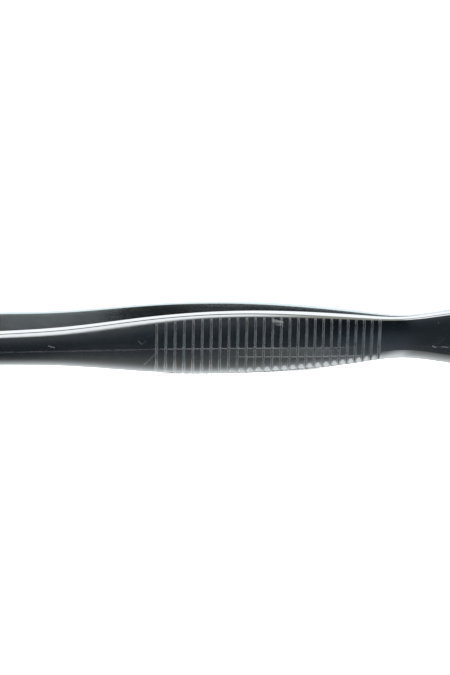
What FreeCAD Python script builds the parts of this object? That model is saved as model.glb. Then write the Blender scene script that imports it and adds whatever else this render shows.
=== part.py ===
"""Thumb forceps: two sprung steel arms, forged apart and welded face to face at the heel.

Millimetres. +X runs from the tips to the heel, Y is the closing direction and +Z is up: the
forceps stand on the lower edges of their arms. The origin is under the middle of the length.
The back arm lies on the +Y side, and the front arm is its mirror image in the XZ plane.
"""
import FreeCAD, Part
import math
import os

import Sketcher

os.makedirs("parts", exist_ok=True)
doc = FreeCAD.newDocument("ThumbForceps")
Vector = FreeCAD.Vector
Rule = Sketcher.Constraint

# Driving dimensions, in millimetres and degrees. Each station along the arm has its run
# from the station before it, the arm's width, the height of its two upright edges and how
# far its outer face is crowned above them.
SIZES = {
    # Tip
    "tip_width": 2.4,
    "tip_side": 0.9,
    "tip_crown": 0.4,
    "tip_corner_ease": 0.25,
    # Jaw, where the serrations have ended
    "jaw_run": 23.0,
    "jaw_width": 4.0,
    "jaw_side": 1.1,
    "jaw_crown": 0.55,
    # Blade
    "blade_run": 23.0,
    "blade_width": 5.6,
    "blade_side": 1.25,
    "blade_crown": 0.7,
    # Shoulder, where the blade begins to swell into the grip
    "shoulder_run": 9.5,
    "shoulder_width": 6.4,
    "shoulder_side": 1.25,
    "shoulder_crown": 0.8,
    # Flare, at the front of the grip
    "flare_run": 14.0,
    "flare_width": 9.25,
    "flare_side": 1.2,
    "flare_crown": 0.9,
    # Belly, the widest place of the grip
    "belly_run": 16.0,
    "belly_width": 10.65,
    "belly_side": 1.3,
    "belly_crown": 0.95,
    # Rear end of the grip
    "rear_run": 20.5,
    "rear_width": 7.9,
    "rear_side": 1.3,
    "rear_crown": 0.6,
    # Neck, the springy waist between the grip and the heel
    "neck_run": 6.5,
    "neck_width": 7.1,
    "neck_side": 1.15,
    "neck_crown": 0.4,
    # Swell from the neck into the heel
    "swell_run": 9.0,
    "swell_width": 9.4,
    "swell_side": 1.15,
    "swell_crown": 0.4,
    # Heel, and its rounded end
    "heel_run": 8.0,
    "heel_width": 10.3,
    "heel_side": 1.15,
    "heel_crown": 0.4,
    "heel_end_run": 10.5,
    "heel_end_width": 9.7,
    "heel_end_side": 1.1,
    "heel_end_crown": 0.4,
    "heel_corner_ease": 0.4,
    # Bend behind the neck, in front of which the arms part
    "bend_behind_neck": 5.2,
    "bend_radius": 118.0,
    "splay_angle": 3.12,
    # How far the crown's rounding reaches in from each edge, as a share of the half width
    "crown_ease": 0.19,
    # Grooves across the outer face of the grip, closer together towards the heel
    "groove_count": 27,
    "groove_lead": 14.4,
    "groove_pitch": 1.517,
    "groove_pitch_step": 0.007,
    "groove_depth": 0.5,
    # Serrations across the inner face of the jaws
    "tooth_count": 15,
    "tooth_lead": 1.8,
    "tooth_pitch": 1.0,
    "tooth_depth": 0.28,
    "tooth_mouth": 0.7,
    # How far a blank or a cutter stands past the face that it makes
    "trim_allowance": 1.0,
}

# The stations from the tip to the heel's end. The blade's and the grip's lie in front of
# the bend, on the splayed part of the arm.
SPLAYED_STATIONS = ("tip", "jaw", "blade", "shoulder", "flare", "belly", "rear")
WELDED_STATIONS = ("neck", "swell", "heel", "heel_end")
STATIONS = SPLAYED_STATIONS + WELDED_STATIONS

sheet = doc.addObject("Spreadsheet::Sheet", "Sizes")
for row, (alias, value) in enumerate(SIZES.items(), start=1):
    sheet.set(f"A{row}", alias)
    sheet.set(f"B{row}", str(value))
    sheet.setAlias(f"B{row}", alias)
doc.recompute()


def run_to(station):
    """The length from the tip to a station, as an expression on the sheet."""
    reached = STATIONS[1 : STATIONS.index(station) + 1]
    return "(" + " + ".join(f"Sizes.{name}_run" for name in reached) + ")"


# Places along X and the height of the arm's middle, as expressions on the sheet
TIP = f"(-{run_to('heel_end')} / 2)"
HEEL = f"({run_to('heel_end')} / 2)"
WELD = f"({TIP} + {run_to('neck')} + Sizes.bend_behind_neck)"
SPLAY = f"({WELD} - Sizes.bend_radius * tan(Sizes.splay_angle / 2))"
MIDDLE_HEIGHT = "Sizes.belly_width / 2"

# The ends and the centre of a piece of sketch geometry, and the sketch's own axis
START, END, CENTRE = 1, 2, 3
X_AXIS = -1

# The peak of a cubic curve's two inner poles, for each unit that its middle rises
PEAK_LIFT = 4 / 3

# An equilateral cutter's radius, for each unit of groove depth
CUTTER_REACH = 1.2


def place_of(station):
    """The X of a station."""
    return TIP if station == "tip" else f"({TIP} + {run_to(station)})"


def splayed_face(place):
    """The Y of the inner face at a place in front of the bend."""
    return f"(({SPLAY} - {place}) * tan(Sizes.splay_angle))"


def inner_face(station):
    """The Y of the inner face at a station."""
    return splayed_face(place_of(station)) if station in SPLAYED_STATIONS else "0"


def size(expression):
    """The number that an expression on the sheet gives."""
    return float(sheet.evalExpression(expression.replace("Sizes.", "")))


def rail(values):
    """A smooth curve against X, through a value at each station."""
    places = [size(place_of(station)) for station in STATIONS]
    curve = Part.BSplineCurve()
    points = [Vector(place, value, 0) for place, value in zip(places, values)]
    curve.interpolate(Points=points, Parameters=places)
    return curve


def arm_rails():
    """The half width, the top of the upright edges and the crest of the crown, along X."""
    half_widths, edges, crests = [], [], []
    for station in STATIONS:
        edge = size(inner_face(station)) + size(f"Sizes.{station}_side")
        half_widths.append(size(f"Sizes.{station}_width") / 2)
        edges.append(edge)
        crests.append(edge + size(f"Sizes.{station}_crown"))
    return rail(half_widths), rail(edges), rail(crests)


def long_face(lengthwise, rows):
    """A face that runs along X as a rail does, with a Bezier curve across it in each row."""
    across = len(rows[0]) - 1
    surface = Part.BSplineSurface()
    surface.buildFromPolesMultsKnots(
        rows,
        lengthwise.getMultiplicities(),
        [across + 1, across + 1],
        lengthwise.getKnots(),
        [0, 1],
        False,
        False,
        lengthwise.Degree,
        across,
    )
    return surface.toShape()


def end_face(long_faces, place):
    """The flat face that closes the long faces at a place."""
    edges = []
    for edge in (edge for face in long_faces for edge in face.Edges):
        box = edge.BoundBox
        if math.isclose(box.XMin, place, abs_tol=1e-6) and math.isclose(box.XMax, place, abs_tol=1e-6):
            edges.append(edge)
    return Part.Face(Part.Wire(Part.__sortEdges__(edges)))


def add_forging():
    """The forged bar of one arm: upright edges, a crowned outer face and a plain inside.

    Its stations lie unevenly along the arm, where a loft through them would ripple, so its
    long faces are spline surfaces that run on the rails.
    """
    widths, edges, crests = arm_rails()
    allowance = size("Sizes.trim_allowance")
    backs = rail([size(inner_face(station)) - allowance for station in STATIONS])
    inset = 1 - size("Sizes.crown_ease")
    crown, upper, inside, lower = [], [], [], []
    for wide, edge, crest, back in zip(*(line.getPoles() for line in (widths, edges, crests, backs))):
        place, half = wide.x, wide.y
        peak = edge.y + PEAK_LIFT * (crest.y - edge.y)
        low_edge, high_edge = Vector(place, edge.y, -half), Vector(place, edge.y, half)
        low_back, high_back = Vector(place, back.y, -half), Vector(place, back.y, half)
        low_peak, high_peak = Vector(place, peak, -half * inset), Vector(place, peak, half * inset)
        crown.append([low_edge, low_peak, high_peak, high_edge])
        upper.append([high_edge, high_back])
        inside.append([high_back, low_back])
        lower.append([low_back, low_edge])
    faces = [long_face(widths, rows) for rows in (crown, upper, inside, lower)]
    faces += [end_face(faces, size(TIP)), end_face(faces, size(HEEL))]
    shell = Part.makeShell(faces)
    shell.sewShape()
    forging = doc.addObject("Part::Feature", "forging")
    forging.Shape = Part.Solid(shell)
    return forging


def new_sketch(body, name, role, along_x="0", along_y="0", turn="0"):
    """A sketch on one of the body's origin planes, moved and turned in that plane."""
    plane = next(item for item in body.Origin.OriginFeatures if item.Role == role)
    sketch = body.newObject("Sketcher::SketchObject", name)
    sketch.AttachmentSupport = [(plane, "")]
    sketch.MapMode = "FlatFace"
    sketch.setExpression("AttachmentOffset.Base.x", along_x)
    sketch.setExpression("AttachmentOffset.Base.y", along_y)
    sketch.setExpression("AttachmentOffset.Rotation.Angle", turn)
    return sketch


def bind(sketch, kind, piece, point, expression):
    """Sets how far a point lies along or across from the sketch's origin."""
    index = sketch.addConstraint(Rule(kind, X_AXIS, START, piece, point, size(expression)))
    sketch.setExpression(f"Constraints[{index}]", expression)


def bind_shape(sketch, kind, piece, value, expression):
    """Sets the radius or the angle of a piece of a sketch."""
    index = sketch.addConstraint(Rule(kind, piece, value))
    sketch.setExpression(f"Constraints[{index}]", expression)


def open_chain(sketch, corners):
    """Straight sides from corner to corner; gives their indices."""
    sides = []
    for here, there in zip(corners, corners[1:]):
        sides.append(sketch.addGeometry(Part.LineSegment(Vector(*here, 0), Vector(*there, 0))))
    for side, following in zip(sides, sides[1:]):
        sketch.addConstraint(Rule("Coincident", side, END, following, START))
    return sides


def cut_through(body, name, sketch):
    """A pocket through the whole arm, to both sides of its sketch."""
    pocket = body.newObject("PartDesign::Pocket", name)
    pocket.Profile = sketch
    pocket.SideType = "Symmetric"
    pocket.Type = "ThroughAll"
    body.Tip = pocket
    doc.recompute()
    return pocket


def cut_inner_face(body):
    """Trims the forging's inside: flat along the weld, a gentle bend, then the splay."""
    sketch = new_sketch(body, "inner_outline", "XY_Plane")
    turn = math.radians(size("Sizes.splay_angle"))
    radius = size("Sizes.bend_radius")
    front_rule = f"{TIP} - Sizes.trim_allowance"
    back_rule = f"{HEEL} + Sizes.trim_allowance"
    low_rule = "-2 * Sizes.trim_allowance"
    front, back, low, weld = size(front_rule), size(back_rule), size(low_rule), size(WELD)
    mouth = size(splayed_face(f"({front_rule})"))
    bend_front = (weld - radius * math.sin(turn), radius * (1 - math.cos(turn)))
    corners = [bend_front, (front, mouth), (front, low), (back, low), (back, 0), (weld, 0)]
    splay, ahead, below, behind, welded = open_chain(sketch, corners)
    circle = Part.Circle(Vector(weld, radius, 0), Vector(0, 0, 1), radius)
    foot = 1.5 * math.pi
    bend = sketch.addGeometry(Part.ArcOfCircle(circle, foot - turn, foot))
    sketch.addConstraint(Rule("Tangent", welded, END, bend, END))
    sketch.addConstraint(Rule("Tangent", bend, START, splay, START))
    sketch.addConstraint(Rule("PointOnObject", welded, START, X_AXIS))
    sketch.addConstraint(Rule("Horizontal", welded))
    sketch.addConstraint(Rule("Vertical", ahead))
    sketch.addConstraint(Rule("Horizontal", below))
    sketch.addConstraint(Rule("Vertical", behind))
    bind_shape(sketch, "Radius", bend, radius, "Sizes.bend_radius")
    bind_shape(sketch, "Angle", splay, math.pi - turn, "180 - Sizes.splay_angle")
    bind(sketch, "DistanceX", welded, START, back_rule)
    bind(sketch, "DistanceX", welded, END, WELD)
    bind(sketch, "DistanceX", ahead, END, front_rule)
    bind(sketch, "DistanceY", ahead, END, low_rule)
    cut_through(body, "inner_face", sketch)


def round_end(body, station, outward, widest):
    """Rounds an end of the arm as its broad face shows it; outward is the sign of its X."""
    sketch = new_sketch(body, f"{station}_outline", "XZ_Plane")
    ease = "heel_corner_ease" if outward > 0 else "tip_corner_ease"
    out, back = ("+", "-") if outward > 0 else ("-", "+")
    end = place_of(station)
    radius_rule = f"(Sizes.{station}_width / 2 + Sizes.{ease})"
    middle_rule = f"{end} {back} {radius_rule}"
    outer_rule = f"{end} {out} Sizes.trim_allowance"
    height_rule = f"Sizes.{widest}_width / 2 + Sizes.trim_allowance"
    radius, middle, outer, high = (
        size(rule) for rule in (radius_rule, middle_rule, outer_rule, height_rule)
    )
    corners = [(middle, radius), (middle, high), (outer, high)]
    corners += [(place, -height) for place, height in reversed(corners)]
    leg, over, across, under, foot = open_chain(sketch, corners)
    circle = Part.Circle(Vector(middle, 0, 0), Vector(0, 0, 1), radius)
    quarter = outward * math.pi / 2
    arc = sketch.addGeometry(Part.ArcOfCircle(circle, -quarter, quarter))
    top, bottom = (END, START) if outward > 0 else (START, END)
    sketch.addConstraint(Rule("Coincident", arc, top, leg, START))
    sketch.addConstraint(Rule("Coincident", arc, bottom, foot, END))
    for side in (leg, across, foot):
        sketch.addConstraint(Rule("Vertical", side))
    for side in (over, under):
        sketch.addConstraint(Rule("Horizontal", side))
    sketch.addConstraint(Rule("PointOnObject", arc, CENTRE, X_AXIS))
    sketch.addConstraint(Rule("Vertical", arc, top, arc, CENTRE))
    bind_shape(sketch, "Radius", arc, radius, radius_rule)
    bind(sketch, "DistanceX", arc, CENTRE, middle_rule)
    bind(sketch, "DistanceX", across, START, outer_rule)
    bind(sketch, "DistanceY", across, START, height_rule)
    bind(sketch, "DistanceY", across, END, f"-({height_rule})")
    cut_through(body, f"{station}_round", sketch)


def cut_jaw_teeth(body):
    """Serrations across the inner face of the jaw, from near the tip towards the grip."""
    first = f"({TIP} + Sizes.tooth_lead)"
    sketch = new_sketch(
        body, "tooth_outline", "XY_Plane", first, splayed_face(first), "-Sizes.splay_angle"
    )
    half = size("Sizes.tooth_mouth") / 2
    depth = size("Sizes.tooth_depth")
    below = -size("Sizes.trim_allowance")
    corners = [(-half, below), (-half, 0), (0, depth), (half, 0), (half, below), (-half, below)]
    left, rise, fall, right, base = open_chain(sketch, corners)
    sketch.addConstraint(Rule("Coincident", base, END, left, START))
    sketch.addConstraint(Rule("PointOnObject", rise, START, X_AXIS))
    sketch.addConstraint(Rule("PointOnObject", fall, END, X_AXIS))
    sketch.addConstraint(Rule("Vertical", left))
    sketch.addConstraint(Rule("Vertical", right))
    sketch.addConstraint(Rule("Horizontal", base))
    bind(sketch, "DistanceX", rise, START, "-Sizes.tooth_mouth / 2")
    bind(sketch, "DistanceX", fall, END, "Sizes.tooth_mouth / 2")
    bind(sketch, "DistanceX", rise, END, "0")
    bind(sketch, "DistanceY", rise, END, "Sizes.tooth_depth")
    bind(sketch, "DistanceY", right, END, "-Sizes.trim_allowance")
    tooth = cut_through(body, "jaw_tooth", sketch)
    teeth = body.newObject("PartDesign::LinearPattern", "jaw_teeth")
    teeth.Originals = [tooth]
    teeth.Direction = (sketch, ["H_Axis"])
    teeth.setExpression("Length", "Sizes.tooth_pitch * (Sizes.tooth_count - 1)")
    teeth.setExpression("Occurrences", "Sizes.tooth_count")
    body.Tip = teeth


def add_groove_cutters():
    """A three-sided prism for each groove of the grip, one edge sunk below the crown."""
    crests = arm_rails()[2]
    reach_rule = f"{CUTTER_REACH} * Sizes.groove_depth"
    length_rule = "Sizes.belly_width + 2 * Sizes.trim_allowance"
    sink = size(reach_rule) - size("Sizes.groove_depth")
    edge_inwards = FreeCAD.Rotation(Vector(0, 0, 1), -90)
    cutters = []
    for number in range(round(size("Sizes.groove_count"))):
        steps = number * (number - 1) // 2
        place = (
            f"{place_of('belly')} - Sizes.groove_lead"
            f" + {number} * Sizes.groove_pitch - {steps} * Sizes.groove_pitch_step"
        )
        height = crests.value(size(place)).y + sink
        cutter = doc.addObject("Part::Prism", f"groove_cutter_{number + 1}")
        cutter.Polygon = 3
        cutter.setExpression("Circumradius", reach_rule)
        cutter.setExpression("Height", length_rule)
        cutter.Placement = FreeCAD.Placement(Vector(0, height, 0), edge_inwards)
        cutter.setExpression("Placement.Base.x", place)
        cutter.setExpression("Placement.Base.z", f"-({length_rule}) / 2")
        cutters.append(cutter)
    bundle = doc.addObject("Part::Compound", "groove_cutters")
    bundle.Links = cutters
    return bundle


def add_back_arm():
    """One whole arm: the forging, trimmed, rounded at both ends, serrated and grooved."""
    body = doc.addObject("PartDesign::Body", "trimmed_forging")
    body.BaseFeature = add_forging()
    cut_inner_face(body)
    round_end(body, "heel_end", 1, "heel")
    round_end(body, "tip", -1, "jaw")
    cut_jaw_teeth(body)
    arm = doc.addObject("Part::Cut", "back_arm")
    arm.Base = body
    arm.Tool = add_groove_cutters()
    arm.setExpression("Placement.Base.z", MIDDLE_HEIGHT)
    return arm


def add_front_arm(back_arm):
    """The other arm, which meets the first along the weld."""
    arm = doc.addObject("Part::Mirroring", "front_arm")
    arm.Source = back_arm
    arm.Normal = Vector(0, 1, 0)
    return arm


def export(arms):
    """Writes each arm to its own file, once the whole document is sound."""
    doc.recompute()
    failed = [item.Name for item in doc.Objects if {"Invalid", "Error"} & set(item.State)]
    if failed:
        raise RuntimeError(f"these did not build: {failed}")
    for arm in arms:
        if arm.Shape.isNull() or not arm.Shape.isValid() or len(arm.Shape.Solids) != 1:
            raise RuntimeError(f"{arm.Label} is not one sound solid")
    for arm in arms:
        arm.Shape.exportStep(f"parts/{arm.Label}.step")
        print(arm.Label, len(arm.Shape.Faces), "faces")


back_arm = add_back_arm()
export([back_arm, add_front_arm(back_arm)])
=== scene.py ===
"""Dresses a pair of thumb forceps: two forged steel arms, mirror polished, welded at the heel.

Metres in the finished meshes, millimetres in the sizes below. +X runs from the jaw tips to
the heel, +Y from the front arm to the back arm and +Z up. Each arm is drawn by one Geometry
Nodes rule, which walks a cross-section along the arm's rails, and cuts the grooves of the
grip and the serrations of the jaw as it goes.
"""

from __future__ import annotations

import logging
import math
from dataclasses import dataclass
from enum import Enum
from typing import Any, Callable, Union

import bpy
import numpy as np
from mathutils import Matrix, Vector

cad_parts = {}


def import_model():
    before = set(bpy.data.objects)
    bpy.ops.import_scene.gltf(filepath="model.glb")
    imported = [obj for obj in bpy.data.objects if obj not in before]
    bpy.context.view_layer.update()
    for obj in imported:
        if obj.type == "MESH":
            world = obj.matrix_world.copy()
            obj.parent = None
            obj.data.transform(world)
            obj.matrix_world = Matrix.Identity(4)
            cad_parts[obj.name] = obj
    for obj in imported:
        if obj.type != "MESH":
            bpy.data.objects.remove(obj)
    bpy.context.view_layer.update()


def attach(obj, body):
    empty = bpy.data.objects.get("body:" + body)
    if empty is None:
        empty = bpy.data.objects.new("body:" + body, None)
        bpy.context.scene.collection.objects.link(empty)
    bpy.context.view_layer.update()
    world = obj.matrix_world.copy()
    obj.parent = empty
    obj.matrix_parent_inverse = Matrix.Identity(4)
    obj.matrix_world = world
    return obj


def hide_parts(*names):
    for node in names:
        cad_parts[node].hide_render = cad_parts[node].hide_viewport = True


LOG = logging.getLogger("thumb_forceps")

MM = 0.001

Value = Union["Wire", float, int, bool, str, tuple, bpy.types.ID]
Settings = dict[str, Any]
Sockets = dict[Union[str, int], Value]
Colour = tuple[float, float, float]
Tones = tuple[tuple[float, Colour], ...]
Pair = tuple[float, float]
# Where something begins, has come in, begins to fade and has faded
Span = tuple[float, float, float, float]
# Where a value begins to change and has changed, and what it is before and after
Step = tuple[float, float, float, float]


class Side(Enum):
    """Which side of the gap an arm lies on, as the sign of its Y."""

    FRONT = -1.0
    BACK = 1.0


def _operator(operation: str) -> tuple[Callable, Callable]:
    """An operator's two methods, for a wire on its left and for one on its right.

    Args:
        operation: What its Math node does.

    Returns:
        The method and its reflected form.
    """
    return (
        lambda wire, other: wire.bench.math(operation, wire, other),
        lambda wire, other: wire.bench.math(operation, other, wire),
    )


class Wire:
    """An output socket, on which Python's operators add Math nodes to its tree."""

    __add__, __radd__ = _operator("ADD")
    __sub__, __rsub__ = _operator("SUBTRACT")
    __mul__, __rmul__ = _operator("MULTIPLY")
    __truediv__, __rtruediv__ = _operator("DIVIDE")
    __pow__, __rpow__ = _operator("POWER")

    def __init__(self, bench: Bench, socket: bpy.types.NodeSocket) -> None:
        """Wraps an output socket of the bench's tree."""
        self.bench = bench
        self.socket = socket

    def __neg__(self) -> Wire:
        """This value with its sign turned."""
        return self * -1.0

    def __abs__(self) -> Wire:
        """This value without its sign."""
        return self.bench.math("ABSOLUTE", self)

    def at_least(self, low: Value) -> Wire:
        """This value, or the given one where that is more."""
        return self.bench.math("MAXIMUM", self, low)

    def at_most(self, high: Value) -> Wire:
        """This value, or the given one where that is less."""
        return self.bench.math("MINIMUM", self, high)

    def split(self) -> tuple[Wire, ...]:
        """The three parts of this vector."""
        parts = self.bench.node("ShaderNodeSeparateXYZ", sockets={0: self})
        return tuple(Wire(self.bench, output) for output in parts.outputs)

    def step(self, low: float, high: float, before: float = 0.0, after: float = 1.0) -> Wire:
        """What passes smoothly from before to after while this value goes from low to high.

        Args:
            low: Where it begins to change.
            high: Where it has changed.
            before: What it is until then.
            after: What it is from there on.

        Returns:
            The changing value.
        """
        ends = {"From Min": low, "From Max": high, "To Min": before, "To Max": after}
        settings = {"interpolation_type": "SMOOTHSTEP"}
        return self.bench.wire("ShaderNodeMapRange", settings, {"Value": self, **ends})

    def within(self, come: float, full: float, leave: float, gone: float) -> Wire:
        """How far this value lies within a span, from 0 to 1."""
        return self.step(come, full) * self.step(leave, gone, 1.0, 0.0)


class Bench:
    """A node tree being wired."""

    def __init__(self, tree: bpy.types.NodeTree) -> None:
        """Starts on a tree, whose nodes are cleared."""
        self.tree = tree
        tree.nodes.clear()

    def node(
        self, kind: str, settings: Settings | None = None, sockets: Sockets | None = None
    ) -> bpy.types.Node:
        """Adds any node.

        Args:
            kind: The node's type.
            settings: Its own properties, set first; stops gives a ramp's (place, colour) pairs.
            sockets: The value or the wire of each input, by name or number.

        Returns:
            The node.
        """
        made = self.tree.nodes.new(kind)
        for name, value in (settings or {}).items():
            if name == "stops":
                self._set_stops(made.color_ramp, value)
            else:
                setattr(made, name, value)
        for key, value in (sockets or {}).items():
            if isinstance(value, Wire):
                self.tree.links.new(value.socket, made.inputs[key])
            else:
                made.inputs[key].default_value = value
        return made

    @staticmethod
    def _set_stops(ramp: bpy.types.ColorRamp, stops: Tones) -> None:
        """Gives a ramp its stops.

        Args:
            ramp: The ramp.
            stops: Its (place, colour) pairs, in rising order.
        """
        for place, _colour in stops[len(ramp.elements) :]:
            ramp.elements.new(place)
        for element, (place, colour) in zip(ramp.elements, stops):
            element.position = place
            element.color = (*colour, 1.0)

    def wire(
        self,
        kind: str,
        settings: Settings | None = None,
        sockets: Sockets | None = None,
        output: str | int = 0,
    ) -> Wire:
        """Adds any node and gives one of its outputs, by name or number."""
        return Wire(self, self.node(kind, settings, sockets).outputs[output])

    def math(self, operation: str, *values: Value) -> Wire:
        """The result of one Math node."""
        return self.wire("ShaderNodeMath", {"operation": operation}, dict(enumerate(values)))

    def join(self, x: Value, y: Value, z: Value) -> Wire:
        """A vector of three values."""
        return self.wire("ShaderNodeCombineXYZ", sockets={0: x, 1: y, 2: z})

    def noise(self, place: Wire, scale: float, detail: float = 2.0) -> Wire:
        """Smooth noise from 0 to 1 at each place."""
        sockets = {"Vector": place, "Scale": scale, "Detail": detail}
        return self.wire("ShaderNodeTexNoise", sockets=sockets)

    def blend(self, share: Value, first: Wire | Colour, second: Wire | Colour) -> Wire:
        """A colour on the way from the first to the second.

        Args:
            share: How far on the way it is, from 0 to 1.
            first: The colour at 0.
            second: The colour at 1.

        Returns:
            The colour.
        """
        ends = [end if isinstance(end, Wire) else (*end, 1.0) for end in (first, second)]
        sockets = {0: share, 6: ends[0], 7: ends[1]}
        return self.wire("ShaderNodeMix", {"data_type": "RGBA"}, sockets, output=2)


def distance(where: np.ndarray, places: np.ndarray) -> np.ndarray:
    """How far each X lies from the nearest of some places."""
    return np.abs(where[:, None] - places).min(axis=1)


def around(places: np.ndarray, offsets: np.ndarray) -> np.ndarray:
    """Each place, and the places that lie an offset before and behind it."""
    return (places[:, None] + np.concatenate([-offsets[::-1], [0.0], offsets])).ravel()


@dataclass(frozen=True)
class Rail:
    """A smooth curve against X through given values, with two continuous derivatives.

    Attributes:
        places: The X of each value, in millimetres.
        values: The values.
    """

    places: np.ndarray
    values: np.ndarray

    def _end_slope(self, chosen: slice) -> float:
        """The slope at the first of four points, on the cubic through them."""
        places, values = self.places[chosen], self.values[chosen]
        return float(np.polyfit(places - places[0], values, 3)[2])

    def slopes(self) -> np.ndarray:
        """The slope at each place, which makes the second derivative continuous.

        Returns:
            One slope for each place.
        """
        steps = np.diff(self.places)
        rises = np.diff(self.values) / steps
        count = len(self.places)
        system, target = np.eye(count), np.zeros(count)
        target[0] = self._end_slope(slice(0, 4))
        target[-1] = self._end_slope(slice(None, -5, -1))
        for row in range(1, count - 1):
            before, after = steps[row - 1], steps[row]
            system[row, row - 1 : row + 2] = after, 2 * (before + after), before
            target[row] = 3 * (after * rises[row - 1] + before * rises[row])
        return np.linalg.solve(system, target)

    def at(self, where: np.ndarray) -> np.ndarray:
        """The curve's value at each X.

        Args:
            where: The X values, in millimetres.

        Returns:
            The values there.
        """
        slopes = self.slopes()
        span = np.clip(np.searchsorted(self.places, where) - 1, 0, len(self.places) - 2)
        step = self.places[span + 1] - self.places[span]
        share = (where - self.places[span]) / step
        rest = 1 - share
        start, end = self.values[span], self.values[span + 1]
        out, back = slopes[span] * step, slopes[span + 1] * step
        leaving = (start * (1 + 2 * share) + out * share) * rest**2
        return leaving + (end * (3 - 2 * share) - back * rest) * share**2


@dataclass(frozen=True)
class Station:
    """A place along the arm with its section, in millimetres.

    Attributes:
        place: Its X.
        width: The arm's width, along Z.
        side: The height of its upright edges above the inner face.
        crown: How far the outer face rises above those edges.
        roll: How much the polishing has rounded the crown off at its lower edge.
        reach: How far up from that edge the rounding goes.
        splayed: Whether it lies in front of the bend.
    """

    place: float
    width: float
    side: float
    crown: float
    roll: float = 0.0
    reach: float = 0.9
    splayed: bool = True


@dataclass(frozen=True)
class Bend:
    """The bend at the neck, in front of which the arms part.

    Attributes:
        weld: The X where the arms meet.
        radius: The bend's radius, in millimetres.
        splay: Each arm's angle off the middle, in degrees.
    """

    weld: float = 47.7
    radius: float = 118.0
    splay: float = 3.12

    def splayed_face(self, where: np.ndarray) -> np.ndarray:
        """The inner face's Y on the splay's straight line."""
        turn = math.radians(self.splay)
        return (self.weld - self.radius * math.tan(turn / 2) - where) * math.tan(turn)

    def inner_face(self, where: np.ndarray) -> np.ndarray:
        """The inner face's Y, welded, bent or splayed.

        Args:
            where: The X values, in millimetres.

        Returns:
            The Y values, in millimetres.
        """
        front = self.weld - self.radius * math.sin(math.radians(self.splay))
        along = np.clip(self.weld - where, 0, None)
        bent = self.radius - np.sqrt(np.clip(self.radius**2 - along**2, 0, None))
        return np.where(where < front, self.splayed_face(where), bent)


@dataclass(frozen=True)
class Grooves:
    """The V grooves across the grip, closer together towards the heel, in millimetres.

    Attributes:
        count: How many there are.
        first: The X of the first.
        pitch: The distance from the first to the second.
        pitch_step: How much each distance is less than the one before.
        depth: How far the V reaches below the crown's crest.
        root_radius: The rounding of its bottom.
        flank_angle: The slope of its sides, in degrees.
        reach: How far from its bottom it may cut the crown.
        flanks: How far from its bottom the mesh's columns lie.
    """

    count: int = 27
    first: float = 1.1
    pitch: float = 1.517
    pitch_step: float = 0.007
    depth: float = 0.5
    root_radius: float = 0.025
    flank_angle: float = 66.0
    reach: float = 0.6
    flanks: tuple[float, ...] = (
        0.03, 0.07, 0.11, 0.145, 0.175, 0.2, 0.218, 0.236, 0.27, 0.34, 0.5,
    )

    def places(self) -> np.ndarray:
        """The X of each groove's bottom."""
        number = np.arange(self.count)
        return self.first + number * self.pitch - number * (number - 1) / 2 * self.pitch_step

    def columns(self) -> np.ndarray:
        """The X of the mesh's columns that draw the grooves' flanks."""
        return around(self.places(), np.array(self.flanks))

    def ceiling(self, where: np.ndarray, crest: Callable[[np.ndarray], np.ndarray]) -> np.ndarray:
        """The greatest Y that the cut leaves at each X.

        Args:
            where: The X values, in millimetres.
            crest: Gives the crown's crest at an X.

        Returns:
            The Y values, in millimetres.
        """
        places = self.places()
        nearest = places[np.abs(where[:, None] - places).argmin(axis=1)]
        rise = math.tan(math.radians(self.flank_angle)) * (where - nearest)
        rounded = np.sqrt(rise**2 + self.root_radius**2) - self.root_radius
        return crest(nearest) - self.depth + rounded


@dataclass(frozen=True)
class Serrations:
    """The fine V cuts across the inner face of the jaw, in millimetres.

    Attributes:
        count: How many there are.
        first: The X of the first.
        pitch: The distance between them.
        depth: How deep each is.
        mouth: How wide each is at the face.
        flanks: How far from its bottom the mesh's columns lie, in half mouths.
    """

    count: int = 15
    first: float = -68.2
    pitch: float = 1.0
    depth: float = 0.28
    mouth: float = 0.7
    flanks: tuple[float, ...] = (0.1, 0.5, 0.9, 1.0, 1.06)

    def places(self) -> np.ndarray:
        """The X of each cut's bottom."""
        return self.first + np.arange(self.count) * self.pitch

    def columns(self) -> np.ndarray:
        """The X of the mesh's columns that draw the cuts."""
        return around(self.places(), np.array(self.flanks) * self.mouth / 2)

    def cut(self, where: np.ndarray) -> np.ndarray:
        """How deep the inner face is cut at each X."""
        away = distance(where, self.places())
        return np.clip(self.depth * (1 - 2 * away / self.mouth), 0, None)


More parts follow.
